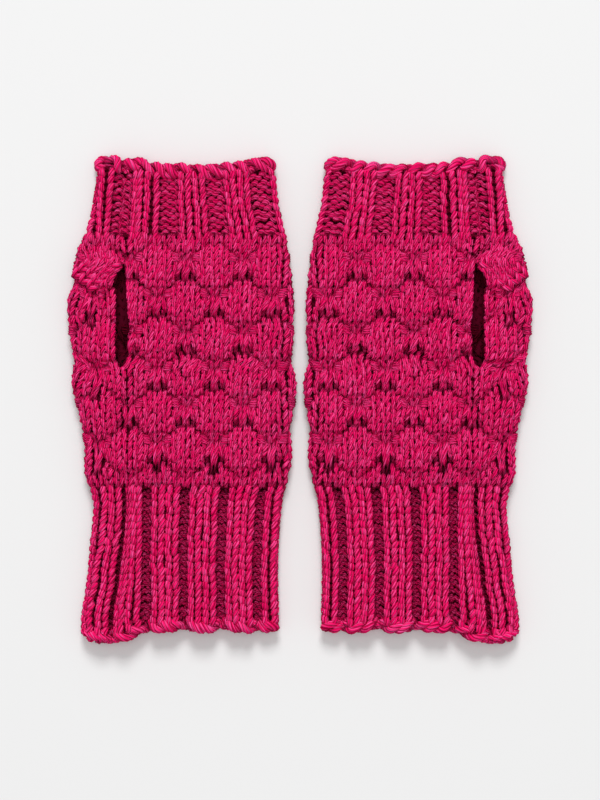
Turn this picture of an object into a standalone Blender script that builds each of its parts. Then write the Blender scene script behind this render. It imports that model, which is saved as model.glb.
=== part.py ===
"""A pair of chunky knitted fingerless wrist warmers, laid flat beside each other, fingers towards +Y.

Each warmer is a flat-laid tube of thick cloth: cast-on edge, wrist rib, bubble-stitch body, hand rib
and bound-off edge. Its front is parted by the seam on the thumb side, which stays open for the thumb.
Sizes are in millimetres. u is the distance from the pair's middle line, and y runs along the warmer.
"""

import math

import bmesh
import bpy
import numpy as np

MM = 0.001

# Driving dimensions
SEAM_GAP = 0.3
REST_WALL = 4.8  # the back panel, pressed flat
MIDDLE_HEIGHT = 5.0  # where the front and back panels meet at the folds
FRONT_INSIDE = 5.2  # the plain inside of the front panel
PURL_HEIGHT = 8.7  # the top of the cloth in its troughs
RIB_RISE = 2.3
HEM_RISE = 1.9  # the rounded ends of the ribs at the cast-on edge
HEM_TURN = 1.2  # how far the cast-on edge drops towards the surface it lies on
BUBBLE_RISE = 3.7
BODY_END_RISE = 1.3  # the flatter first and last rows of the bubble stitch
FLAP_RISE = 1.6
CHAIN_HEIGHT = 0.8
CHAIN_RISE = 2.0
CHAIN_SCALLOP = 1.1
CHAIN_SLANT = 0.6  # in loops, from the lower to the upper side of the chain
FOLD_RADIUS = 6.0
FOLD_WALL = 4.0
EDGE_DEPTH = 5.4  # the bound-off and the cast-on edge, along y
WRIST_TOP = -38.9
BODY_TOP = 72.2
LOOPS_ACROSS = 16  # chain loops of the bound-off edge over the front
BUBBLE_PITCH = 25.65  # four stitches
BUBBLE_DROP = 16.4  # from one row of bubbles to the next, which sits half a pitch aside
FIRST_BUBBLE = (64.1, 60.1)  # u and y of one bubble's middle
FLAP = (81.5, 61.5)  # u and y of the middle of the rolled corner over the slit
FLAP_SPREAD = (4.0, 5.5)
CLOTH_COLOUR = (0.62, 0.012, 0.12, 1.0)

# The outline: how far from the middle line the thumb-side fold and the inner fold lie
OUTLINE = np.array(
    [
        (-110.4, 93.5, 12.0),
        (-107.3, 97.0, 10.6),
        (-104.2, 99.0, 9.6),
        (-101.0, 99.2, 9.1),
        (-94.3, 98.5, 9.1),
        (-85.3, 96.9, 9.4),
        (-74.9, 95.7, 9.5),
        (-65.0, 95.0, 9.2),
        (-51.5, 93.8, 8.3),
        (-43.4, 94.5, 7.2),
        (-37.1, 96.5, 5.4),
        (-31.3, 98.0, 3.9),
        (-21.4, 97.4, 3.4),
        (-13.3, 98.9, 3.8),
        (-4.3, 100.4, 2.7),
        (5.6, 103.3, 1.2),
        (11.5, 103.7, 1.9),
        (18.2, 103.1, 3.4),
        (25.0, 103.9, 2.6),
        (34.0, 104.8, 2.9),
        (42.1, 105.4, 2.1),
        (49.7, 104.4, 2.5),
        (55.1, 102.4, 3.3),
        (58.7, 103.3, 3.8),
        (65.9, 101.7, 4.5),
        (72.2, 98.8, 5.4),
        (81.2, 95.4, 7.4),
        (90.2, 94.0, 9.2),
        (101.5, 92.3, 10.6),
        (110.2, 91.2, 14.3),
    ],
    dtype=[("y", float), ("thumb_fold", float), ("inner_fold", float)],
)

# The seam, and the slit where its two sides stand apart
SEAM = np.array(
    [
        (-110.4, 84.8, 84.8),
        (-95.2, 84.8, 84.8),
        (-88.9, 83.7, 83.7),
        (-81.7, 82.3, 82.3),
        (-74.9, 81.4, 81.4),
        (-65.0, 80.1, 80.1),
        (-56.0, 79.2, 79.2),
        (-46.9, 78.6, 78.6),
        (-38.9, 79.2, 79.2),
        (0.0, 80.5, 80.5),
        (11.0, 80.5, 80.5),
        (14.4, 80.9, 80.1),
        (17.6, 82.6, 78.2),
        (22.7, 82.9, 77.8),
        (27.2, 82.9, 77.2),
        (31.7, 82.9, 76.2),
        (40.7, 82.9, 77.2),
        (47.5, 82.9, 77.7),
        (52.9, 83.8, 77.9),
        (56.0, 82.8, 78.5),
        (59.6, 80.1, 78.5),
        (62.6, 78.8, 78.7),
        (67.7, 81.0, 81.0),
        (72.2, 81.2, 81.2),
        (90.2, 79.9, 79.9),
        (110.2, 78.3, 78.3),
    ],
    dtype=[("y", float), ("thumb_edge", float), ("front_edge", float)],
)

# The two ends of the warmer, from the inner fold out to the thumb-side fold
HAND_END = np.array(
    [
        (10.0, 108.6),
        (16.0, 109.6),
        (26.0, 107.9),
        (34.0, 107.2),
        (43.5, 106.1),
        (53.0, 107.0),
        (61.0, 106.7),
        (75.0, 109.4),
        (80.0, 108.9),
        (87.0, 110.2),
        (92.0, 108.6),
    ],
    dtype=[("u", float), ("y", float)],
)
WRIST_END = np.array(
    [
        (9.0, -104.0),
        (20.0, -105.4),
        (34.0, -104.2),
        (42.0, -104.9),
        (52.0, -104.5),
        (66.0, -105.0),
        (74.5, -107.2),
        (80.0, -109.0),
        (89.0, -110.1),
        (94.0, -109.2),
        (99.5, -106.6),
    ],
    dtype=[("u", float), ("y", float)],
)

# The purl troughs of the two ribs, as shares of the way from the thumb-side fold to the inner fold
HAND_TROUGHS = np.array(
    [(0.166, 0.050), (0.415, 0.045), (0.663, 0.048), (0.905, 0.050)],
    dtype=[("middle", float), ("half_width", float)],
)
WRIST_TROUGHS = np.array(
    [(0.037, 0.014), (0.163, 0.014), (0.311, 0.020), (0.512, 0.022), (0.709, 0.022), (0.899, 0.022)],
    dtype=[("middle", float), ("half_width", float)],
)

# The two top panels: their edges' columns in SEAM and OUTLINE, the shares of the width at which their
# flat stretch starts and ends, and the way out from the middle line
PANELS = {
    "front": ("front_edge", "inner_fold", 0.165, 0.935, -1),
    "thumb_side": ("thumb_edge", "thumb_fold", 0.165, 0.065, 1),
}

# How many rows of points each band has from end to end
BANDS = {"cast_on": 2, "wrist_rib": 10, "bubble": 38, "hand_rib": 6, "bind_off": 3}
FOLD_COLUMNS = 4
BUBBLE_COLUMN = 2.75  # the distance between two columns of points over the bubbles
BACK_COLUMNS = 8
INSIDE_COLUMNS = 7
SETTLING_ROUNDS = 4  # u and y of a point depend on each other


def on_curve(table, place, value, at):
    """A table's value at a place, on a smooth curve through its rows."""
    x, y = table[place], table[value]
    slope = np.gradient(y, x)
    row = int(np.clip(np.searchsorted(x, at) - 1, 0, len(x) - 2))
    step = x[row + 1] - x[row]
    t = min(max((at - x[row]) / step, 0.0), 1.0)
    start = (1 + 2 * t) * (1 - t) ** 2 * y[row] + t * (1 - t) ** 2 * step * slope[row]
    end = t * t * (3 - 2 * t) * y[row + 1] - t * t * (1 - t) * step * slope[row + 1]
    return float(start + end)


def ease(t):
    t = min(max(t, 0.0), 1.0)
    return t * t * (3 - 2 * t)


def wrist_rib_end(u):
    """Where the wrist rib gives way to the cast-on edge."""
    return on_curve(WRIST_END, "u", "y", u) + EDGE_DEPTH


def hand_rib_end(u):
    """Where the hand rib gives way to the bound-off edge: a shallow sag in the middle."""
    return 101.2 + 2.4 * ((u - 52.0) / 40.0) ** 2


BAND_LINES = {
    "cast_on": (lambda u: on_curve(WRIST_END, "u", "y", u), wrist_rib_end),
    "wrist_rib": (wrist_rib_end, lambda u: WRIST_TOP),
    "bubble": (lambda u: WRIST_TOP, lambda u: BODY_TOP),
    "hand_rib": (lambda u: BODY_TOP, hand_rib_end),
    "bind_off": (hand_rib_end, lambda u: on_curve(HAND_END, "u", "y", u)),
}


def rib_rise(troughs, share):
    """0 in a purl trough and 1 on a knit pair, with a slight dip between the pair's two columns."""
    nearest = np.abs(troughs["middle"] - share).argmin()
    off = abs(troughs["middle"][nearest] - share) / troughs["half_width"][nearest]
    return ease((off - 0.35) / 1.2)


def bubble_rise(u, y):
    """The bubble lattice: 1 at a bubble's middle, 0 where the dropped stitches draw the cloth in."""
    across = math.cos(math.tau * (u - FIRST_BUBBLE[0]) / BUBBLE_PITCH)
    along = math.cos(math.pi * (y - FIRST_BUBBLE[1]) / BUBBLE_DROP)
    return (0.5 + 0.5 * across * along) ** 0.6


def flap_rise(u, y):
    """The corner of cloth that rolls over the slit's top end."""
    across, along = (u - FLAP[0]) / FLAP_SPREAD[0], (y - FLAP[1]) / FLAP_SPREAD[1]
    return math.exp(-(across**2) - along**2)


def chain_rise(share, up):
    """The slanting loops of the bound-off edge."""
    return abs(math.cos(math.pi * (LOOPS_ACROSS * share - CHAIN_SLANT * up)))


def fold_height(distance):
    """How much of the full height the cloth has at a distance from its fold."""
    return math.sqrt(max(0.0, 1 - (1 - min(distance / FOLD_RADIUS, 1.0)) ** 2))


def top_height(band, share, u, y, up, from_fold):
    """The height of the cloth's upper face."""
    if band == "bubble":
        inside = ease((y - WRIST_TOP) / 6.0) * ease((BODY_TOP - y) / 6.0)
        rise = BODY_END_RISE + (BUBBLE_RISE * bubble_rise(u, y) - BODY_END_RISE) * inside
        rise += FLAP_RISE * flap_rise(u, y)
    elif band == "bind_off":
        rise = CHAIN_HEIGHT + CHAIN_RISE * chain_rise(share, up)
    elif band == "cast_on":
        rise = HEM_RISE * rib_rise(WRIST_TROUGHS, share) - HEM_TURN * (1 - up) ** 2
    else:
        rise = RIB_RISE * rib_rise(HAND_TROUGHS if band == "hand_rib" else WRIST_TROUGHS, share)
    full = fold_height(from_fold)
    return MIDDLE_HEIGHT + (PURL_HEIGHT - MIDDLE_HEIGHT) * full + rise * full**2


def rib_columns(troughs, low, high):
    """The columns of points that a ribbed panel needs between two shares of the width."""
    sides = (-1.55, -0.5, 0.0, 0.5, 1.55)
    found = [middle + side * half for middle, half in troughs for side in sides]
    found += list((troughs["middle"][:-1] + troughs["middle"][1:]) / 2)
    return sorted({round(share, 4) for share in found if low < share < high})


def even_columns(count, low, high):
    return list(np.linspace(low, high, count + 1)[1:-1])


def fold_distances():
    """The distances from the fold of the columns that turn round it, from its edge inwards."""
    turns = np.linspace(0, math.pi / 2, FOLD_COLUMNS + 1)
    return [FOLD_RADIUS * (1 - math.cos(turn)) for turn in turns]


def flat_columns(band, panel):
    """Shares of the width for a panel's flat stretch, between its seam edge and its fold."""
    low, high = sorted(PANELS[panel][2:4])
    if band == "hand_rib":
        return rib_columns(HAND_TROUGHS, low, high)
    if band in ("wrist_rib", "cast_on"):
        return rib_columns(WRIST_TROUGHS, low, high)
    if band == "bind_off":
        return even_columns(round(3 * LOOPS_ACROSS * (high - low)), low, high)
    return even_columns(round(100 * (high - low) / BUBBLE_COLUMN), low, high)


def front_rows(band, panel):
    """Rows of points (u, y, z) over a top panel, each from its seam edge to its fold."""
    lower, upper = BAND_LINES[band]
    edge_name, fold_name, seam_share, fold_share, outward = PANELS[panel]
    shares = sorted(flat_columns(band, panel), reverse=panel == "thumb_side")
    rows = []
    for up in np.linspace(0, 1, BANDS[band] + 1):
        row = []
        for share in [seam_share, *shares, fold_share, *fold_distances()[-2::-1]]:
            in_fold = len(row) > len(shares) + 1  # share is a distance from the fold there
            y = (lower(50.0) + upper(50.0)) / 2
            for _ in range(SETTLING_ROUNDS):
                seam = on_curve(SEAM, "y", edge_name, y) + outward * SEAM_GAP / 2
                fold = on_curve(OUTLINE, "y", fold_name, y)
                turn = fold - outward * FOLD_RADIUS
                way = (share - seam_share) / (fold_share - seam_share)
                u = fold - outward * share if in_fold else seam + (turn - seam) * way
                low, high = lower(u) + SEAM_GAP / 2, upper(u) - SEAM_GAP / 2
                y = low + (high - low) * up
            across = fold_share if in_fold else share
            if band == "bind_off":
                y -= CHAIN_SCALLOP * (1 - chain_rise(across, 1.0)) * up
            z = top_height(band, across, u, y, up, abs(fold - u))
            row.append((u, y, max(z, MIDDLE_HEIGHT + SEAM_GAP / 2)))
        rows.append(row)
    return rows


def front_inside(rows, step):
    """The plain inside of a top panel: fewer points, level, ending one wall in from the fold."""
    picked = rows[::step] if (len(rows) - 1) % step == 0 else [*rows[:-1:step], rows[-1]]
    inside = []
    for row in picked:
        seam, fold = row[0], row[-1]
        wall = math.copysign(FOLD_WALL, seam[0] - fold[0])
        stops = np.linspace(seam[0], fold[0] + wall, INSIDE_COLUMNS + 1)
        line = sorted(row, key=lambda point: point[0])
        places = [point[0] for point in line]
        ys = [float(np.interp(u, places, [point[1] for point in line])) for u in stops]
        level = [FRONT_INSIDE] * INSIDE_COLUMNS + [MIDDLE_HEIGHT + SEAM_GAP / 2]
        inside.append(list(zip(stops, ys, level)))
    return inside


def back_rows(band):
    """The flat underside, turned up at both folds, and the plain inside over it."""
    lower, upper = BAND_LINES[band]
    turns = fold_distances()
    under, inside = [], []
    for up in np.linspace(0, 1, max(2, BANDS[band] // 3) + 1):
        row = []
        for column in range(BACK_COLUMNS + 2 * FOLD_COLUMNS + 1):
            y = (lower(50.0) + upper(50.0)) / 2
            for _ in range(SETTLING_ROUNDS):
                inner = on_curve(OUTLINE, "y", "inner_fold", y)
                thumb = on_curve(OUTLINE, "y", "thumb_fold", y)
                if column < FOLD_COLUMNS:
                    u = inner + turns[column]
                elif column > BACK_COLUMNS + FOLD_COLUMNS:
                    u = thumb - turns[2 * FOLD_COLUMNS + BACK_COLUMNS - column]
                else:
                    way = (column - FOLD_COLUMNS) / BACK_COLUMNS
                    u = inner + FOLD_RADIUS + (thumb - inner - 2 * FOLD_RADIUS) * way
                low, high = lower(u) + SEAM_GAP / 2, upper(u) - SEAM_GAP / 2
                y = low + (high - low) * up
            z = MIDDLE_HEIGHT * (1 - fold_height(min(u - inner, thumb - u)))
            row.append((u, y, min(z, MIDDLE_HEIGHT - SEAM_GAP / 2)))
        under.append(row)
        places, ys = [point[0] for point in row], [point[1] for point in row]
        stops = np.linspace(row[0][0] + FOLD_WALL, row[-1][0] - FOLD_WALL, INSIDE_COLUMNS + 1)
        edge = MIDDLE_HEIGHT - SEAM_GAP / 2
        level = [edge, *[REST_WALL] * (INSIDE_COLUMNS - 1), edge]
        inside.append([(u, float(np.interp(u, places, ys)), z) for u, z in zip(stops, level)])
    return under, inside


def skin(bm, rows, side):
    """One face of a wall, as a grid of points."""
    grid = [[bm.verts.new((side * u * MM, y * MM, z * MM)) for u, y, z in row] for row in rows]
    for first, second in zip(grid, grid[1:]):
        for a, b, c, d in zip(first, first[1:], second[1:], second):
            bm.faces.new((a, b, c, d))
    return grid


def rim(bm, outer, inner):
    """Joins two edges of unlike point counts by triangles, each time over the shorter way."""
    i = j = 0
    while i < len(outer) - 1 or j < len(inner) - 1:
        can_outer, can_inner = i < len(outer) - 1, j < len(inner) - 1
        if can_outer and can_inner:
            over = (outer[i + 1].co - inner[j].co).length
            can_outer = over <= (inner[j + 1].co - outer[i].co).length
        if can_outer:
            bm.faces.new((outer[i], outer[i + 1], inner[j]))
            i += 1
        else:
            bm.faces.new((outer[i], inner[j + 1], inner[j]))
            j += 1


def wall(name, outer_rows, inner_rows, side, material, collection):
    """A cloth panel: its worked outer face, its plain inside and the rim between them."""
    bm = bmesh.new()
    outer = skin(bm, outer_rows, side)
    inner = skin(bm, inner_rows, side)
    rim(bm, outer[0], inner[0])
    rim(bm, outer[-1], inner[-1])
    rim(bm, [row[0] for row in outer], [row[0] for row in inner])
    rim(bm, [row[-1] for row in outer], [row[-1] for row in inner])
    bmesh.ops.recalc_face_normals(bm, faces=bm.faces)
    mesh = bpy.data.meshes.new(name)
    bm.to_mesh(mesh)
    bm.free()
    mesh.shade_smooth()
    mesh.set_sharp_from_angle(angle=math.radians(50))
    mesh.materials.append(material)
    collection.objects.link(bpy.data.objects.new(name, mesh))


def cloth(name, lighter):
    """Knitted yarn, a little lighter or darker from band to band."""
    material = bpy.data.materials.new(name)
    material.use_nodes = True
    shader = material.node_tree.nodes["Principled BSDF"]
    colour = [part * lighter for part in CLOTH_COLOUR[:3]]
    shader.inputs["Base Color"].default_value = (*colour, 1.0)
    shader.inputs["Roughness"].default_value = 0.85
    shader.inputs["Metallic"].default_value = 0.0
    return material


def warmer(name, side, collection):
    """One warmer, its bands from the wrist up. side is -1 for the left one and 1 for the right."""
    for band, rows in BANDS.items():
        step = 2 if rows <= 6 else rows // 5
        for panel in ("front", "thumb_side"):
            outer = front_rows(band, panel)
            node = f"{name}_{band}_{panel}"
            wall(node, outer, front_inside(outer, step), side, cloth(node, 1.0), collection)
        under, inside = back_rows(band)
        node = f"{name}_{band}_back"
        wall(node, under, inside, side, cloth(node, 0.85), collection)


for old in list(bpy.data.objects):
    bpy.data.objects.remove(old)
pair = bpy.data.collections.new("wrist_warmers")
bpy.context.scene.collection.children.link(pair)
warmer("left", -1, pair)
warmer("right", 1, pair)
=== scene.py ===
import math

import bpy
import numpy as np
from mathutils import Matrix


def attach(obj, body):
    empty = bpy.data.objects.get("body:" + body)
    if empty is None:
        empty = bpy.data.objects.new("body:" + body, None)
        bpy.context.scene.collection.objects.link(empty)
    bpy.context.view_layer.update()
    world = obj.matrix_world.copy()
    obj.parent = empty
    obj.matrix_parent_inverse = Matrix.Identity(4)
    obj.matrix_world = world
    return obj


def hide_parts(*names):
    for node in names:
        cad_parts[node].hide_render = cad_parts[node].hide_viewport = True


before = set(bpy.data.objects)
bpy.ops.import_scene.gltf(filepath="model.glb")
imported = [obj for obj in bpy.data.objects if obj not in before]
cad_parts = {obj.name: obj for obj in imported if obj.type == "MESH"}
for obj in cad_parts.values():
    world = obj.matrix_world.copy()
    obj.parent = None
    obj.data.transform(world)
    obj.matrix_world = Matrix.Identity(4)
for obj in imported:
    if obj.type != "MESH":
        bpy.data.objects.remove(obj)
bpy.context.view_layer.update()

scene = bpy.context.scene

# The camera looks straight down on the laid pair from a metre above it, as the photograph does. The pair
# lies on a plain pale tabletop, under a broad soft light from the finger end, a weak one overhead and an
# even room light.
LENS = 100
LONG_SIDE = 36
EYE_HEIGHT = 1.009
camera_data = bpy.data.cameras.new("camera")
camera_data.lens = LENS
camera_data.sensor_width = LONG_SIDE
camera_data.clip_start = 0.01
camera = bpy.data.objects.new("camera", camera_data)
camera.location = (0, 0, EYE_HEIGHT)
scene.collection.objects.link(camera)
scene.camera = camera
scene.view_settings.view_transform = "Standard"

TABLE_SIDE = 6.0
TABLE_COLOUR = (0.74, 0.74, 0.74, 1)
table_mesh = bpy.data.meshes.new("tabletop")
half = TABLE_SIDE / 2
corners = [(-half, -half, 0), (half, -half, 0), (half, half, 0), (-half, half, 0)]
table_mesh.from_pydata(corners, [], [(0, 1, 2, 3)])
tabletop = bpy.data.objects.new("tabletop", table_mesh)
scene.collection.objects.link(tabletop)
table_paint = bpy.data.materials.new("pale_tabletop")
table_paint.use_nodes = True
table_shader = table_paint.node_tree.nodes["Principled BSDF"]
table_shader.inputs["Base Color"].default_value = TABLE_COLOUR
table_shader.inputs["Roughness"].default_value = 0.9
table_shader.inputs["Specular IOR Level"].default_value = 0.1
table_mesh.materials.append(table_paint)


def soft_light(name, place, side, watts):
    """A square soft light at a place, facing the middle of the pair."""
    data = bpy.data.lights.new(name, "AREA")
    data.size = side
    data.energy = watts
    lamp = bpy.data.objects.new(name, data)
    lamp.location = place
    lamp.rotation_euler = lamp.location.to_track_quat("Z", "Y").to_euler()
    scene.collection.objects.link(lamp)


soft_light("finger_end_light", (0.0, 4.2, 3.9), 1.9, 232)
soft_light("overhead_light", (0.0, 0.0, 2.4), 1.6, 14)
ROOM_LIGHT = 0.52
room = bpy.data.worlds.new("room")
room.use_nodes = True
room.node_tree.nodes["Background"].inputs["Color"].default_value = (1, 1, 1, 1)
room.node_tree.nodes["Background"].inputs["Strength"].default_value = ROOM_LIGHT
scene.world = room

# The knitted tube, pressed flat. Each warmer is one strip of cloth that runs from the thumb-side seam over
# the front, round the inner fold, along the underside and round the thumb-side fold back to the seam.
MM = 0.001
OUTLINE = [  # y, thumb-side fold, inner fold
    (-110.4, 93.5, 12.0), (-107.3, 97.0, 10.6), (-104.2, 99.0, 9.6), (-101.0, 99.2, 9.1), (-94.3, 98.5, 9.1),
    (-85.3, 96.9, 9.4), (-74.9, 95.7, 9.5), (-65.0, 95.0, 9.2), (-51.5, 93.8, 8.3), (-43.4, 94.5, 7.2),
    (-37.1, 96.5, 5.4), (-31.3, 98.0, 3.9), (-21.4, 97.4, 3.4), (-13.3, 98.9, 3.8), (-4.3, 100.4, 2.7),
    (5.6, 103.3, 1.2), (11.5, 103.7, 1.9), (18.2, 103.1, 3.4), (25.0, 103.9, 2.6), (34.0, 104.8, 2.9),
    (42.1, 105.4, 2.1), (49.7, 104.4, 2.5), (55.1, 102.4, 3.3), (58.7, 103.3, 3.8), (65.9, 101.7, 4.5),
    (72.2, 98.8, 5.4), (81.2, 95.4, 7.4), (90.2, 94.0, 9.2), (101.5, 92.3, 10.6), (110.2, 91.2, 14.3),
]
SEAM = [  # y, the seam's thumb-side edge, its front edge
    (-110.4, 84.8, 84.8), (-95.2, 84.8, 84.8), (-88.9, 83.7, 83.7), (-81.7, 82.3, 82.3), (-74.9, 81.4, 81.4),
    (-65.0, 80.1, 80.1), (-56.0, 79.2, 79.2), (-46.9, 78.6, 78.6), (-38.9, 79.2, 79.2), (0.0, 80.5, 80.5),
    (11.0, 80.5, 80.5), (14.4, 80.9, 80.1), (17.6, 82.6, 78.2), (22.7, 82.9, 77.8), (27.2, 82.9, 77.2),
    (31.7, 82.9, 76.2), (40.7, 82.9, 77.2), (47.5, 82.9, 77.7), (52.9, 83.8, 77.9), (56.0, 82.8, 78.5),
    (59.6, 80.1, 78.5), (62.6, 78.8, 78.7), (67.7, 81.0, 81.0), (72.2, 81.2, 81.2), (90.2, 79.9, 79.9),
    (110.2, 78.3, 78.3),
]
HAND_END = [  # u, y
    (10, 108.6), (16, 109.6), (26, 107.9), (34, 107.2), (43.5, 106.1), (53, 107.0), (61, 106.7), (75, 109.4),
    (80, 108.9), (87, 110.2), (92, 108.6),
]
WRIST_END = [
    (9, -104.0), (20, -105.4), (34, -104.2), (42, -104.9), (52, -104.5), (66, -105.0), (74.5, -107.2),
    (80, -109.0), (89, -110.1), (94, -109.2), (99.5, -106.6),
]
WRIST_TOP = -38.9
BODY_TOP = 72.2
FOLD_REACH = 6.0  # how far in from its edge the cloth starts to turn
LAYER = 2.35  # half the thickness of the knitting
FRONT_MIDDLE = 6.25  # heights of the middle of the cloth in the upper and the under layer
UNDER_MIDDLE = 2.45
SELVEDGE = 0.1  # how far the yarn's middle stays back from the edges of the thumb slit
SLIT_OPEN = 4  # the thumb slit counts as fully open where its edges are this far apart
SEAM_DIP, SEAM_WIDTH = 2.4, 2.6  # how deep the seam draws the ribs in, and how far to each side of it
BODY_DIP_LESS, BODY_WIDTH_LESS = 2.3, 0.7  # how much shallower and narrower that is in the body
SEAM_ENDS = (-108, 106)  # how far down and up the warmer the dip reaches
FOLD_RELIEF = 0.4  # the share of their relief that ribs and bubbles keep at the folds
SIDES = {"left": -1, "right": 1}


def smooth(table, at):
    """The columns of a table at some places, on a smooth curve through its rows."""
    rows = np.array(table, float)
    place, value = rows[:, 0], rows[:, 1:]
    slope = np.gradient(value, place, axis=0)
    row = np.clip(np.searchsorted(place, at) - 1, 0, len(place) - 2)
    step = (place[row + 1] - place[row])[:, None]
    t = np.clip((at - place[row])[:, None] / step, 0, 1)
    start = (1 + 2 * t) * (1 - t) ** 2 * value[row] + t * (1 - t) ** 2 * step * slope[row]
    end = t * t * (3 - 2 * t) * value[row + 1] - t * t * (1 - t) * step * slope[row + 1]
    return (start + end).T


def ease(t):
    t = np.clip(t, 0, 1)
    return t * t * (3 - 2 * t)


def stretches(y):
    """The strip's edges, turns and lengths at some heights up the warmer."""
    thumb_fold, inner_fold = smooth(OUTLINE, y)
    thumb_edge, front_edge = smooth(SEAM, y)
    turn_in, turn_out = inner_fold + FOLD_REACH, thumb_fold - FOLD_REACH
    across, tall = FOLD_REACH - LAYER, (FRONT_MIDDLE - UNDER_MIDDLE) / 2
    bend = math.pi * math.sqrt((across**2 + tall**2) / 2)
    front, under, strip = front_edge - turn_in, turn_out - turn_in, turn_out - thumb_edge
    return {
        "front_edge": front_edge, "thumb_edge": thumb_edge, "turn_in": turn_in, "turn_out": turn_out,
        "across": across, "tall": tall, "bend": bend, "front": front, "under": under, "strip": strip,
        "whole": front + under + strip + 2 * bend,
    }


def on_cloth(way, y, lift, relief=None):
    """Points (u, y, z) of the strip: way is the distance from the front edge of the seam along the cloth,
    lift the height over the cloth's middle on its outer side, and relief what is added where the cloth
    faces up."""
    s = stretches(y)
    open_slit = np.clip((s["thumb_edge"] - s["front_edge"]) / SLIT_OPEN, 0, 1)
    opened = open_slit * SELVEDGE
    way = opened + way * (1 - 2 * opened / s["whole"])
    past_front = way - s["front"]
    past_inner = past_front - s["bend"]
    past_under = past_inner - s["under"]
    past_thumb = past_under - s["bend"]
    zones = [past_front < 0, past_inner < 0, past_under < 0, past_thumb < 0]
    turn_a = np.clip(past_front / s["bend"], 0, 1) * math.pi
    turn_b = np.clip(past_under / s["bend"], 0, 1) * math.pi
    a, b, centre = s["across"], s["tall"], (FRONT_MIDDLE + UNDER_MIDDLE) / 2
    u = np.select(
        zones,
        [s["front_edge"] - way, s["turn_in"] - a * np.sin(turn_a), s["turn_in"] + past_inner,
         s["turn_out"] + a * np.sin(turn_b)],
        s["turn_out"] - past_thumb,
    )
    z = np.select(
        zones,
        [FRONT_MIDDLE, centre + b * np.cos(turn_a), UNDER_MIDDLE, centre - b * np.cos(turn_b)], FRONT_MIDDLE
    )
    out_u = np.select(zones, [0, -b * np.sin(turn_a), 0, b * np.sin(turn_b)], 0)
    out_z = np.select(zones, [1, a * np.cos(turn_a), -1, -a * np.cos(turn_b)], 1)
    length = np.hypot(out_u, out_z)
    out_u, out_z = out_u / length, out_z / length
    from_seam = np.minimum(way, s["whole"] - way)
    in_body = ease((y - WRIST_TOP) / 4) * ease((BODY_TOP - y) / 4)
    reach = SEAM_WIDTH - BODY_WIDTH_LESS * in_body
    dip = (SEAM_DIP - BODY_DIP_LESS * in_body) * (1 - open_slit) * np.exp(-((from_seam / reach) ** 2))
    dip = dip * ease((y - SEAM_ENDS[0]) / 8) * ease((SEAM_ENDS[1] - y) / 8)
    total = lift - dip
    if relief is not None:
        from_folds = np.minimum(u - s["turn_in"], s["turn_out"] - u)
        kept = FOLD_RELIEF + (1 - FOLD_RELIEF) * ease((from_folds + 3) / 8)
        total = total + relief(u, y) * np.clip(out_z, 0, 1) ** 1.5 * kept
    return np.stack([u + out_u * total, y, z + out_z * total], axis=1)


# The yarn is a chunky soft acrylic, thin plies twisted together, dyed deep pink and slightly heathered. Its
# strands are swept along their paths as tubes, and their look adds the plies that wind round each other,
# with painted shade between the plies, painted highlight streaks and painted shade where the strands dip.
YARN_SIDES = 6


def new_group(name, kind, sockets):
    """An empty node group with named inputs and outputs."""
    group = bpy.data.node_groups.new(name, kind)
    for way, title, socket, default in sockets:
        made = group.interface.new_socket(title, in_out=way, socket_type=socket)
        if default is not None:
            made.default_value = default
    return group, group.nodes.new("NodeGroupInput"), group.nodes.new("NodeGroupOutput")


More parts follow.
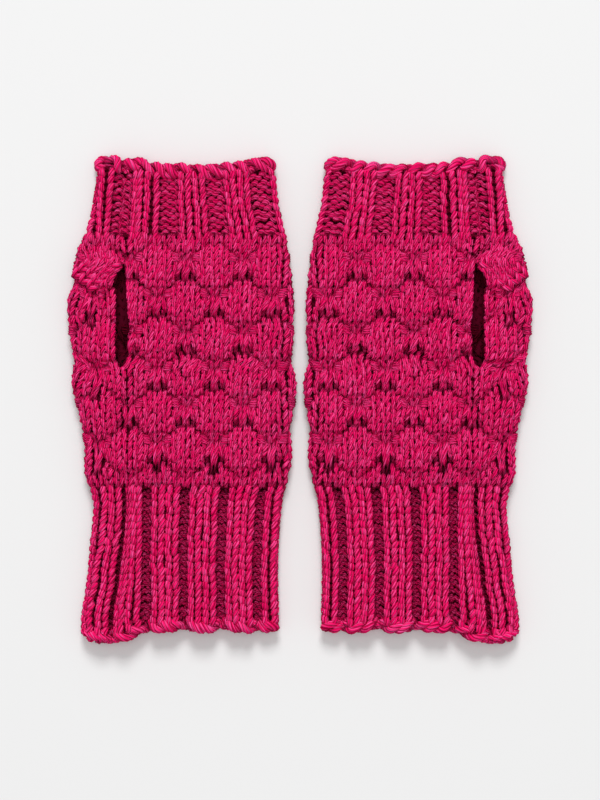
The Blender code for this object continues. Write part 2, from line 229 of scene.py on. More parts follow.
def spun_strands():
    """Sweeps plied yarn along edges. Point attribute girth scales the strand."""
    group, given, result = new_group("spun_strands", "GeometryNodeTree", [
        ("INPUT", "Paths", "NodeSocketGeometry", None),
        ("INPUT", "Radius", "NodeSocketFloat", 0.0013),
        ("INPUT", "Twist", "NodeSocketFloat", 500.0),
        ("INPUT", "Yarn", "NodeSocketMaterial", None),
        ("OUTPUT", "Strands", "NodeSocketGeometry", None),
    ])
    node, link = group.nodes.new, group.links.new

    def maths(operation, first, second):
        made = node("ShaderNodeMath")
        made.operation = operation
        for socket, value in zip(made.inputs, (first, second)):
            if isinstance(value, (int, float)):
                socket.default_value = value
            else:
                link(value, socket)
        return made.outputs[0]

    curve = node("GeometryNodeMeshToCurve")
    link(given.outputs["Paths"], curve.inputs["Mesh"])
    length = node("GeometryNodeSplineParameter").outputs["Length"]
    keep = node("GeometryNodeStoreNamedAttribute")
    keep.data_type, keep.domain = "FLOAT", "POINT"
    keep.inputs["Name"].default_value = "along"
    link(curve.outputs[0], keep.inputs["Geometry"])
    link(length, keep.inputs["Value"])
    tilt = node("GeometryNodeSetCurveTilt")
    link(keep.outputs[0], tilt.inputs["Curve"])
    link(maths("MULTIPLY", length, given.outputs["Twist"]), tilt.inputs["Tilt"])
    circle = node("GeometryNodeCurvePrimitiveCircle")
    circle.inputs["Resolution"].default_value = YARN_SIDES
    circle.inputs["Radius"].default_value = 1.0
    ring = node("GeometryNodeStoreNamedAttribute")
    ring.data_type, ring.domain = "FLOAT_VECTOR", "POINT"
    ring.inputs["Name"].default_value = "section"
    link(circle.outputs["Curve"], ring.inputs["Geometry"])
    link(node("GeometryNodeInputPosition").outputs[0], ring.inputs["Value"])
    girth = node("GeometryNodeInputNamedAttribute")
    girth.data_type = "FLOAT"
    girth.inputs["Name"].default_value = "girth"
    sweep = node("GeometryNodeCurveToMesh")
    link(tilt.outputs[0], sweep.inputs["Curve"])
    link(ring.outputs[0], sweep.inputs["Profile Curve"])
    link(maths("MULTIPLY", girth.outputs["Attribute"], given.outputs["Radius"]), sweep.inputs["Scale"])
    sweep.inputs["Fill Caps"].default_value = True
    soft = node("GeometryNodeSetShadeSmooth")
    real = node("GeometryNodeRealizeInstances")
    dyed = node("GeometryNodeSetMaterial")
    link(sweep.outputs[0], soft.inputs["Geometry"])
    link(soft.outputs[0], real.inputs[0])
    link(real.outputs[0], dyed.inputs["Geometry"])
    link(given.outputs["Yarn"], dyed.inputs["Material"])
    link(dyed.outputs[0], result.inputs["Strands"])
    return group


def plied_yarn_and_painted_light():
    """The look of the spun fibres: painted shade between the plies, pale streaks along them that are partly
    heather and partly painted highlight, a slow heather, and painted shade where the strands dip under each
    other."""
    group, given, result = new_group("plied_yarn_and_painted_light", "ShaderNodeTree", [
        ("INPUT", "Shade", "NodeSocketColor", (0.3, 0.003, 0.04, 1)),
        ("INPUT", "Body", "NodeSocketColor", (0.62, 0.012, 0.12, 1)),
        ("INPUT", "Light", "NodeSocketColor", (0.9, 0.06, 0.25, 1)),
        ("INPUT", "Painted Deep Shade", "NodeSocketColor", (0.1, 0.0, 0.015, 1)),
        ("INPUT", "Plies", "NodeSocketFloat", 5.0),
        ("INPUT", "Streak Length", "NodeSocketFloat", 0.0045),
        ("INPUT", "Streak Width", "NodeSocketFloat", 0.24),
        ("OUTPUT", "Color", "NodeSocketColor", None),
        ("OUTPUT", "Height", "NodeSocketFloat", None),
        ("OUTPUT", "Roughness", "NodeSocketFloat", None),
    ])
    node, link = group.nodes.new, group.links.new

    def attribute(title, output):
        made = node("ShaderNodeAttribute")
        made.attribute_name = title
        return made.outputs[output]

    def maths(operation, *values):
        made = node("ShaderNodeMath")
        made.operation = operation
        for socket, value in zip(made.inputs, values):
            if isinstance(value, (int, float)):
                socket.default_value = value
            else:
                link(value, socket)
        return made.outputs[0]

    def mix(share, first, second):
        made = node("ShaderNodeMix")
        made.data_type = "RGBA"
        link(share, made.inputs["Factor"])
        link(first, made.inputs["A"])
        link(second, made.inputs["B"])
        return made.outputs["Result"]

    split = node("ShaderNodeSeparateXYZ")
    link(attribute("section", "Vector"), split.inputs[0])

    def fibres(length_share, detail):
        """Noise drawn out along the strand."""
        stretch = maths("MULTIPLY", given.outputs["Streak Length"], length_share)
        along = maths("DIVIDE", attribute("along", "Fac"), stretch)
        point = node("ShaderNodeCombineXYZ")
        link(along, point.inputs["X"])
        for axis, socket in zip("XY", "YZ"):
            across = maths("DIVIDE", split.outputs[axis], given.outputs["Streak Width"])
            link(across, point.inputs[socket])
        noise = node("ShaderNodeTexNoise")
        noise.inputs["Scale"].default_value = 1.0
        noise.inputs["Detail"].default_value = detail
        link(point.outputs[0], noise.inputs["Vector"])
        return noise.outputs["Fac"]

    # The plies: a bump, with painted shade in the grooves between them (the Shade colour).
    angle = maths("ARCTAN2", split.outputs["Y"], split.outputs["X"])
    around = maths("MULTIPLY", angle, given.outputs["Plies"])
    ply = maths("SQRT", maths("ADD", maths("MULTIPLY", maths("COSINE", around), 0.5), 0.5))
    streak = fibres(1.0, 2.0)
    heather = fibres(4.0, 0.0)
    raised = maths("MULTIPLY", maths("SUBTRACT", streak, 0.42), 3.0)
    shade = maths("MULTIPLY", ply, maths("ADD", raised, 0.8))
    shade.node.use_clamp = True
    # Pale streaks along the fibres: partly heather, partly painted highlight (the Light colour).
    mottled = maths("ADD", streak, maths("MULTIPLY", heather, 0.7))
    highlight_and_heather = maths("MULTIPLY", maths("SUBTRACT", mottled, 0.86), 4.2)
    highlight_and_heather.node.use_clamp = True
    fibre = mix(highlight_and_heather, mix(shade, given.outputs["Shade"], given.outputs["Body"]), given.outputs["Light"])
    # Painted shade: where a point's painted light share is low, the colour turns to the deep shade colour,
    # as if in shadow.
    link(mix(attribute("painted_light_share", "Fac"), given.outputs["Painted Deep Shade"], fibre), result.inputs["Color"])
    link(maths("ADD", ply, maths("MULTIPLY", streak, 0.7)), result.inputs["Height"])
    link(maths("SUBTRACT", 0.9, maths("MULTIPLY", highlight_and_heather, 0.15)), result.inputs["Roughness"])
    return group


def yarn_material(name, lightness):
    """One lot of the pink yarn, a little lighter or darker than the next."""
    made = bpy.data.materials.new(name)
    made.use_nodes = True
    nodes, links = made.node_tree.nodes, made.node_tree.links
    shader = nodes["Principled BSDF"]
    look = nodes.new("ShaderNodeGroup")
    look.node_tree = yarn_look
    for socket, colour in (("Shade", SHADE), ("Body", BODY), ("Light", LIGHT), ("Painted Deep Shade", PAINTED_DEEP_SHADE)):
        look.inputs[socket].default_value = (*(part * lightness for part in colour), 1)
    bump = nodes.new("ShaderNodeBump")
    bump.inputs["Distance"].default_value = YARN_BUMP
    bump.inputs["Strength"].default_value = 1.0
    links.new(look.outputs["Color"], shader.inputs["Base Color"])
    links.new(look.outputs["Roughness"], shader.inputs["Roughness"])
    links.new(look.outputs["Height"], bump.inputs["Height"])
    links.new(bump.outputs["Normal"], shader.inputs["Normal"])
    shader.inputs["Specular IOR Level"].default_value = YARN_GLOSS
    shader.inputs["Sheen Weight"].default_value = YARN_SHEEN
    shader.inputs["Sheen Roughness"].default_value = 0.4
    shader.inputs["Sheen Tint"].default_value = (1.0, 0.1, 0.35, 1)
    return made


# The yarn's colours: Shade is painted shade between the plies, Body the dyed colour, Light a painted
# highlight on the streaks (partly heather), and the deep colour painted shade for dips, troughs and the
# under layer.
SHADE = (0.36, 0.0, 0.03)
BODY = (0.90, 0.004, 0.135)
LIGHT = (0.93, 0.085, 0.33)
PAINTED_DEEP_SHADE = (0.10, 0.0, 0.01)
YARN_BUMP = 0.0005
YARN_GLOSS, YARN_SHEEN = 0.04, 0.03
yarn_tree = spun_strands()
yarn_look = plied_yarn_and_painted_light()
PLY_TURN = 0.0135  # one turn of the plies takes this much yarn


def knit_up(name, side, paths, radius, material):
    """Spins yarn along paths and returns the finished piece. Each path is (points in mm, girths, painted
    light at each point, from 0, full painted shade, to 1, none). Strands on the tabletop are pressed flat."""
    points, girths, painted_lights, edges = [], [], [], []
    for path, girth, painted_light in paths:
        start = sum(len(part) for part in points)
        path = np.column_stack([path[:, 0], path[:, 1], np.maximum(path[:, 2], radius * 1.02)])
        points.append(path * (side * MM, MM, MM))
        girths.append(np.broadcast_to(girth, len(path)))
        painted_lights.append(np.broadcast_to(painted_light, len(path)))
        edges.append(np.stack([np.arange(len(path) - 1), np.arange(1, len(path))], axis=1) + start)
    mesh = bpy.data.meshes.new(name + "_path")
    mesh.from_pydata(np.concatenate(points).tolist(), np.concatenate(edges).tolist(), [])
    # The second attribute is painted shade: how much painted light each point keeps.
    for title, parts in (("girth", girths), ("painted_light_share", painted_lights)):
        values = np.concatenate(parts).astype(np.float32)
        mesh.attributes.new(title, "FLOAT", "POINT").data.foreach_set("value", values)
    piece = bpy.data.objects.new(name, mesh)
    scene.collection.objects.link(piece)
    spin = piece.modifiers.new("spin", "NODES")
    spin.node_group = yarn_tree
    inputs = [item for item in yarn_tree.interface.items_tree if item.in_out == "INPUT"]
    sockets = {item.name: item.identifier for item in inputs}
    spin[sockets["Radius"]] = radius * MM
    spin[sockets["Twist"]] = math.tau / PLY_TURN
    spin[sockets["Yarn"]] = material
    spun = bpy.data.meshes.new_from_object(piece.evaluated_get(bpy.context.evaluated_depsgraph_get()))
    piece.modifiers.clear()
    piece.data = spun
    bpy.data.meshes.remove(mesh)
    spun.name = name
    return piece


# Knitting. Each row is one run of yarn through a line of loops, back and forth from seam to seam. A knit
# stitch shows its two legs as a V, a purl stitch its head and foot as a bump.
LOOP_DEPTH = 1.05  # how far a loop's legs and its head stand off the cloth's middle
PURL_STAGGER = 0.4  # neighbouring purl bumps lie higher and lower by this much
RIB_STEPS, BODY_STEPS = (18, 10), (12, 6)  # points in a stitch on top and in one that lies underneath
STRAND_TAKE_UP = 0.1  # how far a let-down strand draws its neighbours' feet along
# A let-down strand: columns from the stitch's middle, share of its climb, lift in loop depths.
STRAND_ROUTE = [
    (-0.5, 0.0, -1.0), (-0.7, 0.2, -2.4), (-1.3, 0.97, -2.2), (-1.42, 1.0, 0.9), (-1.24, 1.0, 2.0),
    (-0.98, 1.0, 2.0), (-0.76, 1.0, 0.9), (-0.66, 1.0, -1.8), (0.0, 1.0, -2.2),
]
STRAND_ROUTE += [(-across, climb, out) for across, climb, out in reversed(STRAND_ROUTE[:-1])]
STRAND_GIRTH = 0.58
PULLED_LEAN, PULLED_WIDTH = 0.20, 0.66  # of the stretched loop that catches up let-down rows
ASIDE_JITTER, OUT_JITTER = 0.15, 0.8  # shares of the unevenness of a row that go sideways and outwards
TURN_SHARE = 0.15  # the share of a stitch over which it turns into its neighbour's kind
UNDER_SHADE = 1.2  # how much more painted shade the under layer gets, in loop depths
TROUGH_LIGHT = 0.15  # the share of painted light kept at the lowest places
KNIT_PINCH, PURL_PINCH = 0.16, 0.6  # how much thinner the yarn gets where it dips through the cloth


def in_columns(bounds, column):
    """Turns a place in columns into a place along the strip, between the columns' bounds."""
    low = np.clip(np.floor(column).astype(int), 0, len(bounds) - 2)
    each = np.arange(len(column))
    return bounds[low, each] + (bounds[low + 1, each] - bounds[low, each]) * (column - low)


def row_of_loops(kinds, height, lean, purl_girth, shaky, jitter, steps, skipped=(), pulled=()):
    """One row, as places in columns, distances over the row's line, lifts and girths. kinds holds 1 for
    knit and -1 for purl, lean is how much a loop narrows at its foot and purl_girth thins the purl bumps;
    skipped pairs a column with the height of its bare strand, and pulled pairs one with the height of its
    stretched loop's top."""
    count = len(kinds)
    foot = np.full(count + 1, -height) + shaky.normal(0, jitter, count + 1)
    head = np.full(count, height) + shaky.normal(0, jitter, count)
    head += np.where(np.array(kinds) < 0, PURL_STAGGER * (-1) ** np.arange(count), 0)
    aside = shaky.normal(0, jitter * ASIDE_JITTER, count)
    out = shaky.normal(0, jitter * OUT_JITTER, count)
    columns, ups, lifts, girths = [], [], [], []
    skips, pulls = dict(skipped), dict(pulled)
    for column, level in skipped:
        for side_of in (column, column + 1):
            foot[side_of] += STRAND_TAKE_UP * (level - foot[side_of])
    for j in range(count):
        turn = np.linspace(0, math.tau, steps[j] + 1)[:-1]
        if j == count - 1:
            turn = np.append(turn, math.tau)
        half = turn / math.tau
        if j in skips:
            across, climb, out_by = np.array(STRAND_ROUTE).T
            straight = (foot[j] + foot[j + 1]) / 2
            columns.append(np.clip(j + 0.5 + across, 0, count))
            ups.append(straight + (skips[j] - straight) * climb)
            lifts.append(LOOP_DEPTH * out_by)
            girths.append(np.full(len(across), STRAND_GIRTH))
            continue
        rise = (1 - np.cos(turn)) / 2
        base = np.where(half < 0.5, foot[j], foot[j + 1])
        top = pulls.get(j, head[j])
        narrow, sway = (PULLED_WIDTH, PULLED_LEAN) if j in pulls else (1.0, lean)
        columns.append(j + 0.5 + aside[j] * np.sin(half * math.pi) + (half - 0.5) * (1 - (1 - narrow) * rise)
                       + sway * np.sin(2 * turn))
        ups.append(base + (top - base) * rise)
        kind = np.full(len(turn), float(kinds[j]))
        before = kinds[j - 1] if j else kinds[j]
        after = kinds[j + 1] if j < count - 1 else kinds[j]
        first, last = TURN_SHARE, 1 - TURN_SHARE
        kind = np.where(half < first, kinds[j] + (before - kinds[j]) / 2 * (1 - half / TURN_SHARE), kind)
        kind = np.where(half > last, kinds[j] + (after - kinds[j]) / 2 * (half - last) / TURN_SHARE, kind)
        outward = -np.cos(2 * turn) * kind
        lifts.append(LOOP_DEPTH * outward + out[j] * rise)
        pinch = np.where(kind < 0, PURL_PINCH, KNIT_PINCH)
        girths.append((1 - (1 - purl_girth) * (1 - kind) / 2) * (1 - pinch * (1 - outward) / 2))
    return tuple(np.concatenate(part) for part in (columns, ups, lifts, girths))


def knit_band(rows, relief, low, high, painted_light_in_dips):
    """Joins rows into one run of yarn. A row is (ways, ys, lifts, girths); every second one goes back. What
    lies at the relief's low level, dips through the cloth or is in the under layer gets painted shade."""
    runs, girths, painted_lights = [], [], []
    for number, (way, y, lift, girth) in enumerate(rows):
        points = on_cloth(way, y, lift, relief)
        # Painted shade: the painted light falls where the yarn lies low in the relief, dips through the
        # cloth or lies in the under layer.
        height = relief(points[:, 0], points[:, 1]) + np.clip(lift - LOOP_DEPTH, 0, None)
        raised = ease((height - low) / (high - low))
        s = stretches(y)
        past_fold = way - s["front"] - 0.8 * s["bend"]
        to_fold = s["whole"] - s["strip"] - 0.8 * s["bend"] - way
        under = ease(past_fold / 2) * ease(to_fold / 2)
        dip_painted_light = ease((lift / LOOP_DEPTH + painted_light_in_dips - UNDER_SHADE * under) / (painted_light_in_dips + 0.5))
        painted_light = dip_painted_light * (TROUGH_LIGHT + (1 - TROUGH_LIGHT) * raised)
        order = slice(None, None, -1 if number % 2 else 1)
        runs.append(points[order])
        girths.append(girth[order])
        painted_lights.append(painted_light[order])
    return [(np.concatenate(runs), np.concatenate(girths), np.concatenate(painted_lights))]


# The wrist rib, knit two and purl two, 44 stitches round and 20 rows high. It draws in so tightly that the
# purl pairs nearly close into deep troughs between round knit pairs, darkened further by painted shade.
ROUND = 2.07  # the strip's whole width, where the front of a warmer is one wide
SEAM_SHARE, INNER_SHARE = 0.165, 0.935
STRIP_SHARE, STRIP_REACH = 0.142, 14.2  # the stretch beside the seam whose columns keep their width
WRIST_TROUGHS = [(0.303, 0.023), (0.499, 0.021), (0.697, 0.022), (0.889, 0.022)]
WRIST_TROUGHS += [(0.889 + 0.1983 * step, 0.028) for step in range(1, 6)] + [(2.079, 0.014)]
WRIST_SEAM = (0.010, 0.012)  # the widths of the purl stitches on the seam's two sides
WRIST_HELD = (0.280, 71.3)  # a share of the width, and the u at which its line stays upright
WRIST_ROWS = 20
WRIST_LOOP = 2.4
WRIST_LEAN = 0.135
WRIST_PURL = 0.64
WRIST_RISE, WRIST_TROUGH = 2.4, -1.9  # of the knit pairs and of the purl troughs over the cloth's middle
EDGE_DEPTH, EDGE_LAP = 5.4, 1.2  # how deep the cast-on edge is, and how far the rib runs into it
KNIT_CROWN = 0.55  # how much lower the sides of a knit pair are than its middle
RIB_JITTER = 0.28
WRIST_DARK, WRIST_DIPS = 2.8, 0.9  # how far under the troughs the painted shade reaches, and how much painted light the dips keep
KNIT_WIDTH, KNIT_SLIMMEST = 4.4, 0.6  # a narrower knit column has thinner yarn, down to this share
WRIST_YARN = 1.6


def rib_bounds(troughs, seam_purls):
    """Column bounds of a two-by-two rib, as shares of the strip's width, from seam to seam."""
    found = [SEAM_SHARE, SEAM_SHARE + seam_purls[0]]
    kinds = [-1]
    for middle, half in troughs:
        between = found[-1] + (middle - half - found[-1]) * (0.34 if len(found) == 2 else 0.5)
        found += [between, middle - half, middle, middle + half]
        kinds += [1, 1, -1, -1]
    last = SEAM_SHARE + ROUND - seam_purls[1]
    found += [(found[-1] + last) / 2, last, SEAM_SHARE + ROUND]
    return np.array(found), kinds + [1, 1, -1]


def share_ways(shares, y, held):
    """Where shares of the strip's width lie along it at some heights: one line for each share. held is a
    share and the u at which its line stays upright."""
    s = stretches(y)
    knots = [SEAM_SHARE, held[0], INNER_SHARE, SEAM_SHARE + ROUND - STRIP_SHARE, SEAM_SHARE + ROUND]
    ways = np.stack([0 * y, s["front_edge"] - held[1], s["front"], s["whole"] - STRIP_REACH, s["whole"]])
    part = np.clip(np.searchsorted(knots, shares, side="right") - 1, 0, 3)
    low, high = np.array(knots)[part], np.array(knots)[part + 1]
    return ways[part] + (ways[part + 1] - ways[part]) * ((shares - low) / (high - low))[:, None]


def rib_relief(bounds, kinds, rise, trough, held):
    """How far a rib stands out over its purl troughs, and how deep they lie. Each knit pair is crowned."""
    middle_of_columns = (bounds[:-1] + bounds[1:]) / 2
    kind = np.array(kinds) > 0

    def relief(u, y):
        s = stretches(y)
        by_seam = (s["front_edge"] - u) / (s["front_edge"] - held[1])
        by_fold = (held[1] - u) / (held[1] - s["turn_in"])
        front = np.where(by_seam < 1, SEAM_SHARE + by_seam * (held[0] - SEAM_SHARE),
                         held[0] + by_fold * (INNER_SHARE - held[0]))
        strip = SEAM_SHARE + ROUND - (u - s["thumb_edge"]) / STRIP_REACH * STRIP_SHARE
        share = np.where(u < (s["front_edge"] + s["thumb_edge"]) / 2, front, strip)
        column = np.clip(np.searchsorted(bounds, share) - 1, 0, len(kind) - 1)
        away = share - middle_of_columns[column]
        width = (bounds[1:] - bounds[:-1])[column]
        near = np.clip(column + np.where(away > 0, 1, -1), 0, len(kind) - 1)
        level = np.where(kind[column], 1.0, 0.0)
        beside = np.where(kind[near], 1.0, 0.0)
        outer = np.where(kind[near], 0.5 - np.abs(away) / width, 0.5 + np.abs(away) / width)
        step = level + (beside - level) * ease(np.abs(away) / width) * 0.9
        return trough + (rise - trough) * step - KNIT_CROWN * level * outer**2

    return relief


def wrist_line(u, up):
    """The line of a row of the wrist rib: it follows the cast-on edge below and is level above."""
    low = smooth(WRIST_END, u)[0] + EDGE_DEPTH - EDGE_LAP
    return low + (WRIST_TOP - low) * up


def steps_for(ways_of_bounds, y, steps):
    """Points in each stitch: fewer on the underside."""
    s = stretches(np.array([y]))
    middles = (ways_of_bounds[1:] + ways_of_bounds[:-1]) / 2
    past_inner_fold = middles > s["front"][0] + s["bend"] * 0.6
    before_thumb_fold = middles < s["whole"][0] - s["strip"][0] - s["bend"] * 0.6
    return np.where(past_inner_fold & before_thumb_fold, steps[1], steps[0])


def rib_rows(bounds, kinds, held, rows, line, loop, lean, purl_girth, shaky):
    """The rows of a rib whose lines follow its edge."""
    found = []
    for number in range(rows):
        up = (number + 0.5) / rows
        flat = line(np.array([50.0]), up)
        steps = steps_for(share_ways(bounds, flat, held)[:, 0], flat[0], RIB_STEPS)
        column, rise, lift, girth = row_of_loops(kinds, loop, lean, purl_girth, shaky, RIB_JITTER, steps)
        width = np.diff(share_ways(bounds, flat, held)[:, 0])
        slimmer = np.where(np.array(kinds) > 0, np.clip(width / KNIT_WIDTH, KNIT_SLIMMEST, 1), 1)
        girth = girth * np.interp(column, np.arange(len(kinds)) + 0.5, slimmer)
        y = np.full(len(column), flat[0])
        for _ in range(2):
            ways = in_columns(share_ways(bounds, y, held), column)
            u = on_cloth(ways, y, lift)[:, 0]
            y = line(u, up) + rise
        found.append((in_columns(share_ways(bounds, y, held), column), y, lift, girth))
    return found


wrist_bounds, wrist_kinds = rib_bounds(WRIST_TROUGHS, WRIST_SEAM)
wrist_relief = rib_relief(wrist_bounds, wrist_kinds, WRIST_RISE, WRIST_TROUGH, WRIST_HELD)
rib_yarn = yarn_material("rib_yarn", 1.0)
yarns = {"left": [], "right": []}
for warmer, side in SIDES.items():
    shaky = np.random.default_rng(5)
    rows = rib_rows(wrist_bounds, wrist_kinds, WRIST_HELD, WRIST_ROWS, wrist_line, WRIST_LOOP, WRIST_LEAN,
                    WRIST_PURL, shaky)
    paths = knit_band(rows, wrist_relief, WRIST_TROUGH - WRIST_DARK, WRIST_RISE, WRIST_DIPS)
    piece = knit_up(f"{warmer}_wrist_rib", side, paths, WRIST_YARN, rib_yarn)
    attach(piece, "root")
    yarns[warmer].append(piece)

# The body, in bubble stitch: 48 stitches round and 34 rows. Every fifth row, every sixth stitch is let
# down four rows and caught up again, half a repeat aside each time, so that the cloth between puffs out.
BODY_ROWS, BODY_COLUMNS = 34, 48
BODY_COLUMN, BODY_ROW = 4.273, 3.286
REPEAT = 6  # stitches from one drawn-in stitch to the next in its row
FIRST_BOUND = 74.8  # u of the first column's inner bound
FRONT_COLUMNS = 18
STRIP_COLUMNS = 3
DROP_ROWS = range(5, BODY_ROWS, 5)  # rows whose lower edge runs through the middle of the drawn-in stitches
BODY_LOOP = 2.95
BODY_LEAN = 0.19
BODY_YARN = 1.26
BUBBLE_RISE = 5.0
BUBBLE_HALF = (11.6, 14.5, 9.5)  # half a bubble's width, and its reach up and down from its highest point
BUBBLE_SAG = 2.4
BUBBLE_TOP, BUBBLE_FIRST = 60.1, 64.1  # height of the top row of whole bubbles and u of its first one
END_RISE = 2.1  # of the body's first and last rows
DRAWN_RISE = 3.4  # how far the drawn-in stitches stand out between the bubbles
STRAND_LEVELS = (2.6, 3.6, 4.6, 5.6)  # where the let-down rows' strands gather over the middle of the drop
DROP_TOP = 6.6
DRAWN_UP = 6.5  # how far the stitches below a drop are pulled towards it
FOLD_PULL = 0.3  # the share of that pull beside the thumb-side fold
BUBBLE_PITCH, BUBBLE_STEP = REPEAT * BODY_COLUMN, 5 * BODY_ROW
PIT_DEPTH, PIT_ASIDE, PIT_BELOW = 2.4, 3.7, 5.0  # the hole on each side of a drawn-in stitch's foot
GROOVE = 2.2  # how deep the cloth is creased where two bubbles meet
PIT_HALF = (1.6, 2.2)  # half such a hole's width and height
RIDGE_HALF = (3.0, 7.0)  # half a drawn-in stitch's width and height
BUBBLE_ROWS, BUBBLES_ACROSS = range(-3, 9), range(-1, 5)  # counted from the top row's first whole bubble
DRAWN_REACH, DRAWN_WIDTH = 4.4, 2.6
DRAWN_ASIDE = [(0.6, -5.5, 2.4), (-0.7, 1.5, 3.0)]  # how far aside, how far over the drop, half its height
PULL_SPAN = (-28, -12, 2)  # heights over a drop where its pull starts, is full and has ended
BODY_JITTER = 0.3
BODY_DARK, BODY_DIPS = -1.2, 0.6  # the height below which the yarn gets painted shade, and how much painted light the dips keep
body_foot = BUBBLE_TOP - DROP_ROWS[-1] * BODY_ROW


def body_bounds(y):
    """Column bounds of the body along the strip, from seam to seam."""
    s = stretches(y)
    front = [s["front_edge"] - (FIRST_BOUND - BODY_COLUMN * j) for j in range(FRONT_COLUMNS)]
    strip = [s["whole"] - BODY_COLUMN * j for j in range(STRIP_COLUMNS, 0, -1)]
    count = BODY_COLUMNS - FRONT_COLUMNS - STRIP_COLUMNS
    under = [front[-1] + (strip[0] - front[-1]) * step / count for step in range(1, count)]
    return np.stack([0 * y, *front, *under, *strip, s["whole"]])


def drops():
    """Column and height of every drawn-in stitch."""
    return [
        (column, body_foot + row * BODY_ROW, row)
        for row in DROP_ROWS
        for column in range(0 if (row // 5) % 2 == 0 else REPEAT // 2, BODY_COLUMNS, REPEAT)
    ]


def drawn_in(way, y, bounds):
    """Moves points of the cloth as the drawn-in stitches pull it."""
    way, y = way.copy(), y.copy()
    start_way, start_y = way.copy(), y.copy()
    for column, level, _ in drops():
        centre = (bounds[column] + bounds[column + 1]) / 2
        dx, dy = start_way - centre, start_y - level
        beside = np.clip(np.abs(dx) / 3.2, 0, 1) * np.sign(dx)
        across = ((np.abs(dx) - DRAWN_REACH) / DRAWN_WIDTH) ** 2
        for push, up, half_height in DRAWN_ASIDE:
            way += push * beside * np.exp(-across - ((dy - up) / half_height) ** 2)
        settled = ease((start_y - WRIST_TOP) / 10) * (FOLD_PULL if column > BODY_COLUMNS - REPEAT else 1)
        y += DRAWN_UP * settled * np.interp(dy, PULL_SPAN, [0, 1, 0]) * np.exp(-((dx / DRAWN_REACH) ** 2))
    return way, y


def bubble_relief(u, y):
    """The domes of the bubbles, flatter at the body's first and last rows."""
    best = np.full(len(u), -4.0)
    ridge = second = best
    pits = np.zeros(len(u))
    for row in BUBBLE_ROWS:
        level = BUBBLE_TOP - BUBBLE_STEP * row
        for across in BUBBLES_ACROSS:
            middle = BUBBLE_FIRST - BUBBLE_PITCH * across + (BUBBLE_PITCH / 2 if row % 2 else 0)
            up = y - level + BUBBLE_SAG
            away = ((u - middle) / BUBBLE_HALF[0]) ** 2 + (up / np.where(up > 0, *BUBBLE_HALF[1:])) ** 2
            second = np.maximum(second, np.minimum(best, 1 - away))
            best = np.maximum(best, 1 - away)
            from_drop = np.abs(u - middle - BUBBLE_PITCH / 2)
            drawn = (from_drop / RIDGE_HALF[0]) ** 2
            ridge = np.maximum(ridge, 1 - drawn - ((y - level + 0.5) / RIDGE_HALF[1]) ** 2)
            beside = ((from_drop - PIT_ASIDE) / PIT_HALF[0]) ** 2
            pit = np.exp(-beside - ((y - level + PIT_BELOW) / PIT_HALF[1]) ** 2)
            pits += pit * (u < BUBBLE_FIRST + 0.8 * BUBBLE_PITCH)
    inside = ease((y - WRIST_TOP) / 6) * ease((BODY_TOP - y) / 6)
    ridge = np.clip(ridge, 0, 1)
    groove = ease(1 - (best - second) / 0.4) * ease(2.5 * best) * (1 - ease(2 * ridge))
    dome = BUBBLE_RISE * np.sqrt(np.clip(best, 0, 1)) + DRAWN_RISE * ridge
    dome = dome - PIT_DEPTH * pits - GROOVE * groove
    return END_RISE + (dome - END_RISE) * inside


def body_rows(shaky):
    """The rows of the body, with the strands and stretched loops of its drawn-in stitches."""
    found = []
    for number in range(BODY_ROWS):
        level = body_foot + (number + 0.5) * BODY_ROW
        skipped, pulled = [], []
        for column, middle, row in drops():
            if row - 3 <= number <= row:
                skipped.append((column, middle + STRAND_LEVELS[number - row + 3] - level))
            if number == row - 4:
                pulled.append((column, middle + DROP_TOP - level))
        here = body_bounds(np.array([level]))[:, 0]
        steps = steps_for(here, level, BODY_STEPS)
        kinds = [1] * BODY_COLUMNS
        column, rise, lift, girth = row_of_loops(
            kinds, BODY_LOOP, BODY_LEAN, 1, shaky, BODY_JITTER, steps, skipped, pulled
        )
        y = level + rise
        bounds = body_bounds(y)
        way, y = drawn_in(in_columns(bounds, column), y, bounds)
        found.append((way, y, lift, girth))
    return found


FLAP_HEM = ((92.4, 49.0), (79.0, 63.2))  # the free edge of the flap over the top of the thumb slit
FLAP_LINK, FLAP_WIDTH = 3.5, 4.6
FLAP_HEIGHT = 10.6
FLAP_OUT = (0.74, 0.67)  # the direction from the hem over the flap
FLAP_COLUMNS = [  # distance from the hem at its start and at its end, how far under the flap's top
    (2.6, 2.0, 0.0), (6.8, 5.6, 0.3), (11.0, 9.0, 1.4),
]


def chain(start, end, height, width, link, shaky):
    """A column of knit stitches seen from above, from start to end, as the two legs of each stitch."""
    along = np.array(end) - np.array(start)
    length = np.hypot(*along)
    along = along / length
    aside = np.array([along[1], -along[0]])
    part = np.linspace(0, 1, 7)
    legs = []
    for number in range(int(length / link)):
        for hand in (-1, 1):
            ahead = (number + 1.3 * part + shaky.normal(0, 0.1)) * link - 1.5
            across = hand * width * (0.02 + 0.46 * part + 0.05 * np.sin(part * math.pi))
            flat = np.array(start) + ahead[:, None] * along + across[:, None] * aside
            rise = height + 1.3 * np.sin(part * math.pi) - 1.2 * np.abs(across) / width
            # Painted shade: each leg's yarn is darker towards both ends, where it dips into the cloth.
            legs.append((np.column_stack([flat, rise]), 1.0, ease(0.1 + 1.0 * np.sin(part * math.pi))))
    return legs


